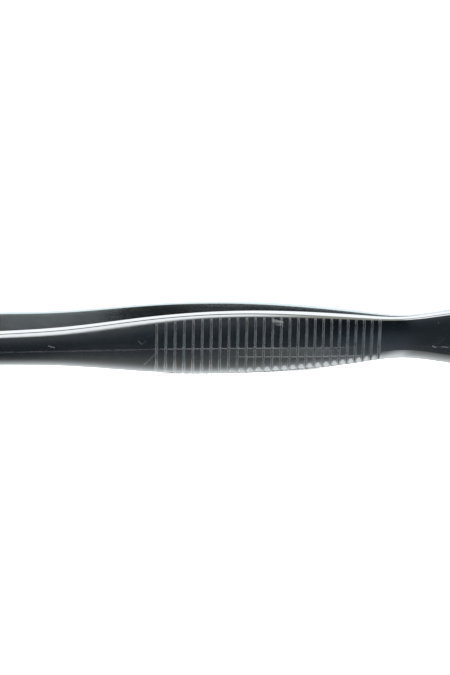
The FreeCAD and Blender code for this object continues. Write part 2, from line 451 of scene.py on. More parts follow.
@dataclass(frozen=True)
class Section:
    """The cross-section's points, as a walk round it.

    Each point lies between the inner face and the outer face. Its row says where on the crown
    it belongs, how far out it is, where across the inner face it starts, and how many break
    radii it moves outwards and inwards along the width.

    Attributes:
        crown_points: Points over the crown.
        inner_points: Points over the inner face.
        corner_points: Points round an inner edge, apart from the inner face's own.
        edge_steps: The places of the points round an outer edge, as shares of the rounding.
        crown_ease: How far the rounding reaches in, as a share of the half width.
        edge_break: The outer edges' rounding, in inner break radii.
        break_reach: The share of the crown that an outer edge's rounding takes.
        crowding: How the crown's points crowd to its edges; 1 is as on a half circle.
    """

    crown_points: int = 40
    inner_points: int = 9
    corner_points: int = 3
    edge_steps: tuple[float, ...] = (0.0, 0.15, 0.3, 0.45, 0.6, 0.75, 0.9)
    crown_ease: float = 0.19
    edge_break: float = 5.0
    break_reach: float = 0.07
    crowding: float = 0.8

    def _high_half(self) -> list[tuple[float, ...]]:
        """The rows from the inner face's high corner to where the crown begins.

        Returns:
            The rows, in the walk's order.
        """
        corner = [
            (0.0, 0.0, 1.0, share**2, (1 - share) ** 2)
            for share in np.linspace(0, 1, self.corner_points + 1)[1:]
        ]
        edge = [
            (self.break_reach * share**2, 1.0, 1.0, -self.edge_break * (1 - share) ** 2, 0.0)
            for share in self.edge_steps
        ]
        return [*corner, (0.0, 0.5, 1.0, 0.0, 0.0), *edge]

    def rows(self) -> np.ndarray:
        """The walk's rows: across the inner face, up, over the crown and down.

        Returns:
            One row a point: crown share, height share, start across, outwards, inwards.
        """
        inner = [
            (0.0, 0.0, across, 0.0, float(abs(across) == 1.0))
            for across in np.linspace(-1, 1, self.inner_points)
        ]
        turned = np.cos(np.linspace(0, np.pi, self.crown_points))
        spread = 0.5 - 0.5 * np.sign(turned) * np.abs(turned) ** self.crowding
        crown_shares = self.break_reach + (1 - 2 * self.break_reach) * spread
        crown = [(share, 1.0, 1.0, 0.0, 0.0) for share in crown_shares]
        high = self._high_half()
        low = [(1 - row[0], row[1], -row[2], row[3], row[4]) for row in reversed(high)]
        return np.array([*inner, *high, *crown, *low, inner[0]])

    def outline_share(self, reached: np.ndarray) -> np.ndarray:
        """Where on the crown's curve a share of the half width lies.

        Args:
            reached: The shares, from 0 in the middle to 1 at the edge.

        Returns:
            The curve's parameter, from 0.5 down to 0.
        """
        parameter = np.linspace(0, 0.5, 400)
        across = ArmRule.across(parameter, self.crown_ease)
        return np.interp(reached, across[::-1], parameter[::-1])


class ArmRule:
    """The Geometry Nodes tree that draws a forged arm from its rails and its section."""

    INPUTS = {
        "Rails": "NodeSocketGeometry",
        "Section": "NodeSocketObject",
        "Section Points": "NodeSocketInt",
        "Crown Ease": "NodeSocketFloat",
        "Groove Edge Break": "NodeSocketFloat",
        "Side": "NodeSocketFloat",
        "Middle Height": "NodeSocketFloat",
    }
    RAILS = (
        "place", "half", "edge", "crown", "inner", "ceiling",
        "begin", "break", "roll", "reach", "off_groove",
    )
    ROWS = ("share", "height", "across", "outwards", "inwards")
    # Points closer than this are one, in metres
    SAME_POINT = 1e-6
    # The share of the height below which a face belongs to the inner side
    INNER_SHARE = 0.2

    def __init__(self, polished: bpy.types.Material, ground: bpy.types.Material) -> None:
        """Builds the tree.

        Args:
            polished: The finish of the outer faces and the edges.
            ground: The finish of the inner face.
        """
        self.polished = polished
        self.ground = ground
        self.tree = bpy.data.node_groups.new("forged_arm", "GeometryNodeTree")
        face = self.tree.interface
        face.new_socket("Geometry", in_out="OUTPUT", socket_type="NodeSocketGeometry")
        self.inputs = {
            name: face.new_socket(name, in_out="INPUT", socket_type=kind).identifier
            for name, kind in self.INPUTS.items()
        }
        self.bench = Bench(self.tree)
        self._wire()

    @staticmethod
    def across(along: Wire | np.ndarray, ease: Wire | float) -> Wire | np.ndarray:
        """How far across the arm the crown's curve is, in half widths.

        Args:
            along: The curve's parameter, from 0 to 1.
            ease: How far the rounding reaches in, as a share of the half width.

        Returns:
            The place across, from 1 to -1.
        """
        rest = 1.0 - along
        cubes = rest * rest * rest - along * along * along
        return cubes + 3.0 * (1.0 - ease) * along * rest * (rest - along)

    def _named(self, name: str) -> Wire:
        """A value that a mesh holds under a name."""
        settings, sockets = {"data_type": "FLOAT"}, {"Name": name}
        return self.bench.wire("GeometryNodeInputNamedAttribute", settings, sockets, "Attribute")

    def _looked_up(self, geometry: Wire, name: str, index: Wire) -> Wire:
        """A named value of one point of another mesh."""
        sockets = {"Geometry": geometry, "Value": self._named(name), "Index": index}
        return self.bench.wire("GeometryNodeSampleIndex", {"data_type": "FLOAT"}, sockets)

    def _wire(self) -> None:
        """Wires the rule: a sheet's columns lie on the rails, and its rows walk the section."""
        bench = self.bench
        given = bench.node("NodeGroupInput")
        value = {name: Wire(bench, given.outputs[name]) for name in self.INPUTS}
        section = bench.wire(
            "GeometryNodeObjectInfo", sockets={"Object": value["Section"]}, output="Geometry"
        )
        on_rails, rows = {"Geometry": value["Rails"]}, value["Section Points"]
        columns = bench.wire("GeometryNodeAttributeDomainSize", sockets=on_rails)
        grid = {0: 1.0, 1: 1.0, 2: columns, 3: rows}
        sheet = bench.wire("GeometryNodeMeshGrid", sockets=grid, output="Mesh")
        along, over, _flat = bench.wire("GeometryNodeInputPosition").split()
        column = bench.math("ROUND", (along + 0.5) * (columns - 1.0))
        row = bench.math("ROUND", (over + 0.5) * (rows - 1.0))
        rail = {name: self._looked_up(value["Rails"], name, column) for name in self.RAILS}
        walk = {name: self._looked_up(section, name, row) for name in self.ROWS}

        ease, begin = value["Crown Ease"], rail["begin"]
        share = begin + (1.0 - 2.0 * begin) * walk["share"]
        across = rail["half"] * self.across(share, ease)
        edge_across = rail["half"] * self.across(begin, ease)
        crown = rail["edge"] + rail["crown"] * 4.0 * share * (1.0 - share)
        outer = bench.math("SMOOTH_MIN", crown, rail["ceiling"], value["Groove Edge Break"])
        rolled = (1.0 - (across + edge_across) / rail["reach"]).at_least(0.0).at_most(1.0)
        outer = outer - rail["roll"] * rolled * rolled
        depth = rail["inner"] + (outer - rail["inner"]) * walk["height"]
        depth = depth + walk["outwards"] * rail["break"]
        start = walk["across"] * edge_across
        height = start + (across - start) * walk["height"]
        turn = bench.math("SIGN", walk["across"])
        height = height - turn * walk["inwards"] * rail["break"]
        for name, number in (
            ("off_groove", rail["off_groove"] / MM),
            ("lane", height / rail["half"]),
            ("above_low_edge", (height + rail["half"]) / MM),
            ("outer_share", walk["height"]),
        ):
            sheet = bench.wire(
                "GeometryNodeStoreNamedAttribute",
                {"data_type": "FLOAT", "domain": "POINT"},
                {"Geometry": sheet, "Name": name, "Value": number},
            )
        side = value["Side"]
        placed = bench.join(rail["place"], depth * side, height + value["Middle Height"])
        sockets = {"Geometry": sheet, "Position": placed}
        self._dress(bench.wire("GeometryNodeSetPosition", sockets=sockets), side)

    def _dress(self, skin: Wire, side: Wire) -> None:
        """Closes the skin, turns it outwards and gives it its finishes.

        Args:
            skin: The arm's shaped sheet.
            side: The sign of the arm's Y.
        """
        bench = self.bench
        inside = bench.math("LESS_THAN", self._named("outer_share"), self.INNER_SHARE)
        for kind, key, sockets in (
            ("MergeByDistance", "Geometry", {"Distance": self.SAME_POINT}),
            ("FlipFaces", "Mesh", {"Selection": bench.math("LESS_THAN", side, 0.0)}),
            ("RealizeInstances", "Geometry", {}),
            ("SetMaterial", "Geometry", {"Material": self.polished}),
            ("SetMaterial", "Geometry", {"Material": self.ground, "Selection": inside}),
        ):
            skin = bench.wire(f"GeometryNode{kind}", sockets={key: skin, **sockets})
        bench.node("NodeGroupOutput", sockets={0: skin})

    def draw(
        self, name: str, rails: bpy.types.Object, settings: dict[str, Value]
    ) -> bpy.types.Mesh:
        """Runs the rule over one set of rails.

        Args:
            name: The new mesh's name.
            rails: The object that holds the rails.
            settings: The tree's inputs, by name.

        Returns:
            The arm's mesh.
        """
        modifier = rails.modifiers.new("forged_arm", "NODES")
        modifier.node_group = self.tree
        for key, setting in settings.items():
            modifier[self.inputs[key]] = setting
        graph = bpy.context.evaluated_depsgraph_get()
        mesh = bpy.data.meshes.new_from_object(rails.evaluated_get(graph), depsgraph=graph)
        mesh.name = name
        rails.modifiers.remove(modifier)
        return mesh


@dataclass(frozen=True)
class ForgedArm:
    """One arm of the forceps, in millimetres.

    Attributes:
        side: Which side of the gap it lies on.
        stations: Its sections from the tip to the heel's end.
        bend: Where it leaves the weld.
        grooves: The grip's grooves.
        serrations: The jaw's serrations.
        section: The points of its cross-section.
        tip_ease: How much larger the tip's rounding is than half its width.
        heel_ease: The same at the heel.
        break_radius: The rounding of the inner edges.
        seam_break: Their rounding along the weld.
        seam_begins: The X between which the one passes into the other.
        slim_half: The half width below which their rounding shrinks with it.
        groove_break: The rounding of the grooves' edges.
        uncut: How far above the crest the cut stays away from the grooves.
        end_columns: The mesh's columns over each rounded end.
        column_step: Their distance where nothing finer is drawn.
        column_gap: How near a plain column may lie to a finer one.
        least_gap: The least distance of any two columns.
        sharp_angle: The angle between faces, in degrees, from which an edge is sharp.
    """

    side: Side
    stations: tuple[Station, ...] = (
        Station(-70.0, 2.4, 0.9, 0.4),
        Station(-47.0, 4.0, 1.1, 0.55),
        Station(-24.0, 5.6, 1.25, 0.7),
        Station(-14.5, 6.4, 1.25, 0.8),
        Station(-0.5, 9.25, 1.2, 0.9),
        Station(15.5, 10.65, 1.3, 0.95, 0.06),
        Station(36.0, 7.9, 1.3, 0.6, 0.09),
        Station(42.5, 7.1, 1.15, 0.4, 0.04, 1.0, splayed=False),
        Station(51.5, 9.4, 1.15, 0.4, 0.04, 1.0, splayed=False),
        Station(59.5, 10.3, 1.15, 0.4, 0.04, 1.0, splayed=False),
        Station(70.0, 9.7, 1.1, 0.4, 0.04, 1.0, splayed=False),
    )
    bend: Bend = Bend()
    grooves: Grooves = Grooves()
    serrations: Serrations = Serrations()
    section: Section = Section()
    tip_ease: float = 0.25
    heel_ease: float = 0.4
    break_radius: float = 0.05
    seam_break: float = 0.075
    seam_begins: Pair = (44.0, 50.0)
    slim_half: float = 0.8
    groove_break: float = 0.015
    uncut: float = 1.0
    end_columns: int = 22
    column_step: float = 0.6
    column_gap: float = 0.25
    least_gap: float = 0.008
    sharp_angle: float = 38.0

    def _rail(self, read: Callable[[Station], float], where: np.ndarray) -> np.ndarray:
        """One value of the stations, carried smoothly to each X."""
        places = np.array([station.place for station in self.stations])
        return Rail(places, np.array([read(station) for station in self.stations])).at(where)

    def _face_at(self, station: Station) -> float:
        """The Y that a station's upright edges start from."""
        return float(self.bend.splayed_face(np.array(station.place))) if station.splayed else 0.0

    def crest(self, where: np.ndarray) -> np.ndarray:
        """The crown's crest at each X."""
        return self._rail(lambda at: self._face_at(at) + at.side + at.crown, where)

    def _ends(self) -> tuple[tuple[float, float, int], ...]:
        """How the tip and the heel are rounded.

        Returns:
            Each end's X, the radius of its rounding and the sign of the way inwards.
        """
        tip, heel = self.stations[0], self.stations[-1]
        tip_radius, heel_radius = tip.width / 2 + self.tip_ease, heel.width / 2 + self.heel_ease
        return (tip.place, tip_radius, 1), (heel.place, heel_radius, -1)

    def columns(self) -> np.ndarray:
        """The X of every column of the mesh, closer where the shape is finer.

        Returns:
            The X values in rising order.
        """
        rounding = 1 - np.cos(np.linspace(0, math.pi / 2, self.end_columns))
        ends = [place + inward * radius * rounding for place, radius, inward in self._ends()]
        fine = np.concatenate([*ends, self.grooves.columns(), self.serrations.columns()])
        plain = np.arange(self.stations[0].place, self.stations[-1].place, self.column_step)
        clear = distance(plain, fine) > self.column_gap
        columns = np.unique(np.concatenate([fine, plain[clear]]).round(4))
        return columns[np.concatenate([[True], np.diff(columns) > self.least_gap])]

    def outline(self, where: np.ndarray, half: np.ndarray) -> np.ndarray:
        """The half width as the rounded ends leave it.

        Args:
            where: The X values.
            half: The rail's half widths there.

        Returns:
            The half widths.
        """
        for place, radius, inward in self._ends():
            inside = (where - place) * inward
            rounded = np.sqrt(np.clip(radius**2 - (radius - inside) ** 2, 0, None))
            half = np.where(inside < radius, np.minimum(half, rounded), half)
        return half

    def rails(self) -> dict[str, np.ndarray]:
        """The rails' values at each column.

        Returns:
            Each rail by name, all in millimetres but begin, which is a share.
        """
        where = self.columns()
        half = self._rail(lambda at: at.width / 2, where)
        edge = self._rail(lambda at: self._face_at(at) + at.side, where)
        crest = self.crest(where)
        outline = self.outline(where, half)
        off_groove = distance(where, self.grooves.places())
        cut = self.grooves.ceiling(where, self.crest)
        breaks = np.interp(where, self.seam_begins, (self.break_radius, self.seam_break))
        roll = np.clip(self._rail(lambda at: at.roll, where), 0, None)
        return {
            "place": where,
            "half": half,
            "edge": edge,
            "crown": crest - edge,
            "inner": self.bend.inner_face(where) + self.serrations.cut(where),
            "ceiling": np.where(off_groove < self.grooves.reach, cut, crest + self.uncut),
            "begin": self.section.outline_share(outline / half),
            "break": breaks * np.clip(outline / self.slim_half, 0, 1),
            "roll": roll * outline / half,
            "reach": self._rail(lambda at: at.reach, where),
            "off_groove": off_groove,
        }

    def build(self, rule: ArmRule) -> bpy.types.Object:
        """Draws the arm and puts it on the frame in place of its plain node.

        Args:
            rule: The tree that draws it.

        Returns:
            The finished piece.
        """
        name = f"{self.side.name.lower()}_arm"
        values = {
            key: numbers * (1.0 if key == "begin" else MM) for key, numbers in self.rails().items()
        }
        rows = self.section.rows()
        rails = point_table(f"{name}_rails", values)
        walk = point_table(f"{name}_section", dict(zip(ArmRule.ROWS, rows.T)))
        settings = {
            "Section": walk,
            "Section Points": len(rows),
            "Crown Ease": self.section.crown_ease,
            "Groove Edge Break": self.groove_break * MM,
            "Side": self.side.value,
            "Middle Height": max(station.width for station in self.stations) / 2 * MM,
        }
        mesh = rule.draw(f"polished_{name}", rails, settings)
        for helper in (rails, walk):
            bpy.data.objects.remove(helper)
        mesh.shade_smooth()
        mesh.set_sharp_from_angle(angle=math.radians(self.sharp_angle))
        piece = new_object(mesh)
        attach(piece, "root")
        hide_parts(name)
        return piece


def new_object(data: bpy.types.ID) -> bpy.types.Object:
    """An object in the scene with the name of its data.

    Args:
        data: The mesh or the camera that it shows.

    Returns:
        The object.
    """
    made = bpy.data.objects.new(data.name, data)
    bpy.context.scene.collection.objects.link(made)
    return made


def point_table(name: str, values: dict[str, np.ndarray]) -> bpy.types.Object:
    """Loose points with named values, which a Geometry Nodes tree can look up.

    Args:
        name: The object's name.
        values: The values of each point, by name.

    Returns:
        The object that holds them.
    """
    mesh = bpy.data.meshes.new(name)
    mesh.vertices.add(len(next(iter(values.values()))))
    for key, numbers in values.items():
        attribute = mesh.attributes.new(key, "FLOAT", "POINT")
        attribute.data.foreach_set("value", np.asarray(numbers, dtype=np.float32))
    return new_object(mesh)


def new_material(name: str) -> tuple[bpy.types.Material, Bench]:
    """A new material with an empty tree.

    Args:
        name: The material's name.

    Returns:
        The material, and the bench for its nodes.
    """
    material = bpy.data.materials.new(name)
    material.use_nodes = True
    return material, Bench(material.node_tree)


class Spot:
    """Where a shaded point lies, as wires.

    Attributes:
        bench: The material's tree.
        place: Its place, in metres.
        x: Its X, in millimetres.
        y: Its Y.
        z: Its Z.
        lane: Its place across the arm, from -1 at the lower edge to 1 at the upper.
        off_groove: How far it lies from the nearest groove, in millimetres.
        above_low_edge: How far it lies above the arm's lower edge.
    """

    def __init__(self, bench: Bench) -> None:
        """Wires them up.

        Args:
            bench: The material's tree.
        """
        self.bench = bench
        self.place = bench.wire("ShaderNodeTexCoord", output="Object")
        self.x, self.y, self.z = (part / MM for part in self.place.split())
        self.lane, self.off_groove, self.above_low_edge = (
            bench.wire("ShaderNodeAttribute", {"attribute_name": name}, output="Fac")
            for name in ("lane", "off_groove", "above_low_edge")
        )


@dataclass(frozen=True)
class Grain:
    """The fine lengthwise grain that grinding or buffing leaves.

    Attributes:
        along: Its scale along X, per millimetre.
        across: Its scale along Y and Z.
        detail: How fine its finest lines are.
        strength: How much roughness it adds.
    """

    along: float
    across: float
    detail: float
    strength: float

    def shown(self, spot: Spot) -> Wire:
        """The grain at each place, from 0 to 1."""
        scaled = (spot.x * self.along, spot.y * self.across, spot.z * self.across)
        return spot.bench.noise(spot.bench.join(*scaled), 1.0, self.detail)


@dataclass(frozen=True)
class Scratch:
    """A straight mark on the front arm's outer face, in millimetres.

    Attributes:
        start: The X and Z of one end.
        end: The X and Z of the other.
        width: How far its edge lies from the line between them.
        depth: How strongly it shows, from 0 to 1.
        core: The share of the width that shows in full.
    """

    start: Pair
    end: Pair
    width: float
    depth: float
    core: float = 0.4

    def shown(self, spot: Spot) -> Wire:
        """How strongly the mark shows at each place.

        Args:
            spot: The place.

        Returns:
            A share from 0 to its depth.
        """
        run, rise = self.end[0] - self.start[0], self.end[1] - self.start[1]
        from_x, from_z = spot.x - self.start[0], spot.z - self.start[1]
        along = (from_x * run + from_z * rise) / (run**2 + rise**2)
        along = along.at_least(0.0).at_most(1.0)
        away = ((from_x - along * run) ** 2.0 + (from_z - along * rise) ** 2.0) ** 0.5
        return away.step(self.width * self.core, self.width, self.depth, 0.0)


@dataclass(frozen=True)
class Ridge:
    """A fine ridge along the outer face, where two buffed bands meet, in millimetres, drawn only
    as a painted highlight: a lighter, rougher line.

    Attributes:
        height: Its Z where X is 0.
        slope: How much it sinks for each millimetre towards the heel.
        begin: The X where it begins to show.
        end: The X where it has faded.
        strength: How strongly its painted highlight shows, from 0 to 1.
        late_slope: The further sinking behind late_place.
        early_slope: The further sinking in front of X 0, towards the jaws.
        spread: How far from its middle it has faded.
        late_place: The X from which it sinks further.
        core: How far from its middle it shows in full.
        fade: How far it takes to come in and to fade along X.
    """

    height: float
    slope: float
    begin: float = -90.0
    end: float = 90.0
    strength: float = 1.0
    late_slope: float = 0.0
    early_slope: float = 0.0
    spread: float = 0.15
    late_place: float = 25.0
    core: float = 0.04
    fade: float = 6.0

    def above(self, spot: Spot) -> Wire:
        """How far each place lies above the ridge.

        Args:
            spot: The place.

        Returns:
            The distance in millimetres.
        """
        late = (spot.x - self.late_place).at_least(0.0) * self.late_slope
        early = (-spot.x).at_least(0.0) * self.early_slope
        return spot.z - (self.height - spot.x * self.slope - late - early)

    def shown(self, spot: Spot) -> Wire:
        """How strongly the ridge's painted highlight shows at each place.

        Args:
            spot: The place.

        Returns:
            A share from 0 to its strength.
        """
        line = abs(self.above(spot)).step(self.core, self.spread, self.strength, 0.0)
        span = (self.begin, self.begin + self.fade, self.end - self.fade, self.end)
        return line * spot.x.within(*span)


@dataclass(frozen=True)
class Flat:
    """A flat that buffing has left along the front and back faces, in millimetres.

    Attributes:
        lean: Its extra slope at its upper line.
        ease: How much less it leans for each millimetre below that.
        width: How far down it reaches.
        span: The X where it begins, has come in, begins to fade and has faded.
        above_edge: How far above the low edge its upper line runs, or 0 where that is the
            first ridge.
        tooth: How much lower that line runs for each millimetre nearer to a groove.
    """

    lean: float
    ease: float
    width: float
    span: Span
    above_edge: float = 0.0
    tooth: float = 0.0

    def depth(self, spot: Spot, below: Wire) -> Wire:
        """How deep it cuts into the crown, so far below its upper line."""
        down = below.at_least(0.0).at_most(self.width)
        return down * (self.lean - down * (self.ease / 2)) * spot.x.within(*self.span)


@dataclass(frozen=True)
class Stripes:
    """The dull stripes that the milled grooves show as, in millimetres.

    Attributes:
        half: Half a stripe's width, stepped by the lane.
        foot: How far it has opened into a foot on the low edge, stepped by the lane.
        foot_left: How much of a foot is left towards the heel, stepped by X.
        foot_half: What a foot adds to half the width.
        last_half: What the last stripe adds to it, stepped by X.
        rim: How much of a stripe is left, stepped by its half widths.
        top: The lane where it ends, stepped by X.
        top_rim: How much of it is left there, stepped by the lanes above its end.
    """

    half: Step = (-1.0, -0.74, 0.16, 0.2)
    foot: Step = (-0.8, -0.35, 1.0, 0.0)
    foot_left: Step = (7.0, 17.0, 1.0, 0.0)
    foot_half: float = 0.1
    last_half: Step = (37.2, 37.8, 0.0, 0.05)
    rim: Step = (0.82, 1.2, 1.0, 0.0)
    top: Step = (16.0, 36.0, 0.89, 0.94)
    top_rim: Step = (-0.01, 0.01, 1.0, 0.0)

    def feet(self, spot: Spot) -> Wire:
        """Where the first stripes run out wider on the low edge, where they also get a painted
        highlight.
        """
        return spot.lane.step(*self.foot) * spot.x.step(*self.foot_left)

    def shown(self, spot: Spot) -> Wire:
        """How much of each place a stripe covers.

        Args:
            spot: The place.

        Returns:
            A share from 0 to 1.
        """
        half = spot.lane.step(*self.half) + self.foot_half * self.feet(spot)
        half = half + spot.x.step(*self.last_half)
        ended = (spot.lane - spot.x.step(*self.top)).step(*self.top_rim)
        return (spot.off_groove / half).step(*self.rim) * ended


@dataclass(frozen=True)
class SteelFinish:
    """A finish of bare steel.

    Attributes:
        name: The material's name.
        grain: The grain that its working has left.
        colour: The steel's reflected colour, linear.
    """

    name: str
    grain: Grain
    colour: Colour = (0.6, 0.635, 0.65)

    def tinted(self, *shares: float) -> Colour:
        """The steel's colour with a share of each part left."""
        return tuple(part * share for part, share in zip(self.colour, shares))

    def surface(self, spot: Spot) -> tuple[Wire, Wire, Wire]:
        """What the finish is at each place, which each finish says for itself.

        Args:
            spot: The place.

        Returns:
            Its colour, its roughness and its height in metres.
        """
        raise NotImplementedError

    def build(self) -> bpy.types.Material:
        """Makes the material.

        Returns:
            The material.
        """
        material, bench = new_material(self.name)
        colour, roughness, height = self.surface(Spot(bench))
        sockets = {"Strength": 1.0, "Distance": 1.0, "Height": height}
        bump = bench.wire("ShaderNodeBump", sockets=sockets)
        sockets = {"Base Color": colour, "Metallic": 1.0, "Roughness": roughness, "Normal": bump}
        shader = bench.wire("ShaderNodeBsdfPrincipled", sockets=sockets)
        bench.node("ShaderNodeOutputMaterial", sockets={"Surface": shader})
        return material


@dataclass(frozen=True)
class PolishedSteel(SteelFinish):
    """Mirror polished stainless steel, buffed lengthwise, with dull grooves.

    Attributes:
        groove_colour: The colour of the grooves.
        groove_painted_shade: Their painted shade, a darker colour where they run out on the upper
            edge.
        shade_lanes: The lanes between which the one passes into the other.
        scratch_and_highlight_colour: The lighter colour of the scratches, and the painted
            highlight of the ridges and of the grooves' feet.
        edge_reflection_tint: A painted reflection on the back arm's upper edges, as a share of the
            colour.
        edge_lanes: The lanes between which an upper edge begins.
        back_begins: The Y in millimetres between which the back arm begins.
        roughness: The roughness where the steel is cleanest.
        dull_roughness: The roughness of the grooves, the ridges and the scratches.
        smudge: How much roughness the smudges add, stepped by their noise.
        smudge_scale: Their scale, per metre.
        smudge_detail: How fine they are.
        haze: How much roughness the haze in front of the grip adds.
        haze_span: The X where it begins, has come in, begins to fade and has faded.
        wave: How high the polish's waves are, in metres.
        wave_scale: Their scale, per metre.
        stripes: The grooves' dull stripes.
        ridges: The ridges between the buffed bands, drawn as painted highlights, the highest
            first.
        patches: How much of a ridge's painted highlight the buffing has left at least, and what
            its noise adds.
        patch_scale: That noise's scale, per millimetre.
        groove_reach: How far from a groove the flats' lines begin to turn down to it.
        flats: The flats that buffing has left.
        scratched_side: The Y in front of which the scratches show.
        scratches: The scratches that use has left.
    """

    name: str = "polished_steel"
    grain: Grain = Grain(0.12, 6.0, 2.0, 0.03)
    groove_colour: Colour = (0.66, 0.7, 0.71)
    groove_painted_shade: Colour = (0.34, 0.36, 0.37)
    shade_lanes: Pair = (0.3, 0.9)
    scratch_and_highlight_colour: Colour = (0.86, 0.89, 0.9)
    edge_reflection_tint: Colour = (0.84, 0.93, 0.96)
    edge_lanes: Pair = (0.975, 0.995)
    back_begins: Pair = (0.1, 0.3)
    roughness: float = 0.075
    dull_roughness: float = 0.5
    smudge: Step = (0.45, 0.75, 0.0, 0.05)
    smudge_scale: float = 900.0
    smudge_detail: float = 4.0
    haze: float = 0.07
    haze_span: Span = (-17.0, -10.0, -4.0, 0.0)
    wave: float = 0.000007
    wave_scale: float = 240.0
    stripes: Stripes = Stripes()
    ridges: tuple[Ridge, ...] = (
        Ridge(5.05, 0.0125, -90.0, 37.0, 0.5, late_slope=0.018, early_slope=0.0097, spread=0.2),
        Ridge(5.05, 0.0125, -2.0, 26.0, 0.95, early_slope=0.0097),
        Ridge(4.97, 0.0125, 43.0, strength=0.45, late_slope=0.018, spread=0.2),
        Ridge(3.73, 0.026, 11.0, 38.0, 0.8, spread=0.18),
    )
    patches: Pair = (0.65, 0.6)
    patch_scale: float = 0.9
    groove_reach: float = 0.75
    flats: tuple[Flat, ...] = (
        Flat(0.14, 0.06, 1.9, (2.0, 26.0, 28.0, 36.0)),
        Flat(0.22, 0.13, 1.3, (9.0, 22.0, 34.0, 40.0), above_edge=1.75, tooth=2.2),
        Flat(0.12, -0.08, 2.0, (37.0, 43.0, 90.0, 91.0), above_edge=1.65),
    )
    scratched_side: float = -1.2
    scratches: tuple[Scratch, ...] = (
        Scratch((-16.6, 6.1), (-15.62, 5.76), 0.14, 0.85),
        Scratch((-1.89, 6.53), (-1.34, 6.0), 0.2, 0.5),
        Scratch((-1.34, 6.0), (-0.6, 6.5), 0.2, 0.32),
        Scratch((1.2, 4.5), (-0.84, 2.3), 0.28, 0.42),
        Scratch((20.4, 9.45), (21.8, 9.2), 0.36, 0.8),
        Scratch((20.9, 8.9), (21.8, 8.7), 0.26, 0.65),
        Scratch((47.53, 4.24), (48.7, 5.87), 0.1, 0.3),
        Scratch((48.27, 4.61), (49.22, 5.64), 0.1, 0.4),
        Scratch((47.29, 4.1), (47.81, 3.85), 0.15, 0.9),
        Scratch((48.0, 8.3), (48.15, 8.22), 0.12, 0.5),
        Scratch((48.8, 3.93), (49.9, 3.9), 0.14, 0.75),
    )

    def _scratches_and_ridge_highlights(self, spot: Spot) -> Wire:
        """How much of each place a scratch or a ridge's painted highlight covers.

        Args:
            spot: The place.

        Returns:
            A share from 0 to 1.
        """
        bench = spot.bench
        least, more = self.patches
        patches = least + more * bench.noise(bench.join(spot.x, 0.0, 0.0), self.patch_scale)
        scratch_and_ridge_highlight: Value = 0.0
        for scratch in self.scratches:
            scratch_and_ridge_highlight = scratch.shown(spot).at_least(scratch_and_ridge_highlight)
        scratch_and_ridge_highlight = scratch_and_ridge_highlight * bench.math("LESS_THAN", spot.y, self.scratched_side)
        # The ridges add a painted highlight, patchy along X
        for ridge in self.ridges:
            scratch_and_ridge_highlight = (ridge.shown(spot) * patches).at_least(scratch_and_ridge_highlight)
        return scratch_and_ridge_highlight

    def _clean(self, spot: Spot) -> Wire:
        """The roughness between the grooves and the marks.

        Args:
            spot: The place.

        Returns:
            The roughness there.
        """
        smudges = spot.bench.noise(spot.place, self.smudge_scale, self.smudge_detail)
        clean = self.roughness + self.grain.shown(spot) * self.grain.strength
        return clean + smudges.step(*self.smudge) + spot.x.within(*self.haze_span) * self.haze

    def _colour(self, spot: Spot, grooves: Wire, scratch_and_ridge_highlight: Wire) -> Wire:
        """What each place reflects.

        Args:
            spot: The place.
            grooves: How much of it a groove's stripe covers.
            scratch_and_ridge_highlight: How much of it a scratch or a ridge's painted highlight
                covers.

        Returns:
            The colour.
        """
        blend = spot.bench.blend
        # Painted reflection: the back arm's upper edges take a tinted colour
        upright = spot.lane.step(*self.edge_lanes) * spot.y.step(*self.back_begins)
        steel = blend(upright, self.colour, self.tinted(*self.edge_reflection_tint))
        # Painted shade: the grooves' colour darkens towards the upper edge
        groove_tone_and_light = blend(spot.lane.step(*self.shade_lanes), self.groove_colour, self.groove_painted_shade)
        # Painted highlight: the grooves' feet on the low edge take the lighter colour
        groove_tone_and_light = blend(self.stripes.feet(spot), groove_tone_and_light, self.scratch_and_highlight_colour)
        # The scratches take the lighter colour, and the ridges take it as a painted highlight
        return blend(scratch_and_ridge_highlight, blend(grooves, steel, groove_tone_and_light), self.scratch_and_highlight_colour)

    def _cut(self, spot: Spot) -> Wire:
        """How deep the flats cut into the crown at each place.

        Args:
            spot: The place.

        Returns:
            The depth in millimetres.
        """
        near = (self.groove_reach - spot.off_groove).at_least(0.0)
        cut: Value = 0.0
        for flat in self.flats:
            if flat.above_edge:
                below = flat.above_edge - spot.above_low_edge - near * flat.tooth
            else:
                below = -self.ridges[0].above(spot)
            cut = cut + flat.depth(spot, below)
        return cut

    def surface(self, spot: Spot) -> tuple[Wire, Wire, Wire]:
        """What the polished steel is at each place.

        Args:
            spot: The place.

        Returns:
            Its colour, its roughness and its height in metres.
        """
        grooves, scratch_and_ridge_highlight = self.stripes.shown(spot), self._scratches_and_ridge_highlights(spot)
        clean = self._clean(spot)
        roughness = clean + (self.dull_roughness - clean) * grooves.at_least(scratch_and_ridge_highlight)
        waves = spot.bench.noise(spot.place, self.wave_scale) * self.wave
        return self._colour(spot, grooves, scratch_and_ridge_highlight), roughness, waves - self._cut(spot) * MM


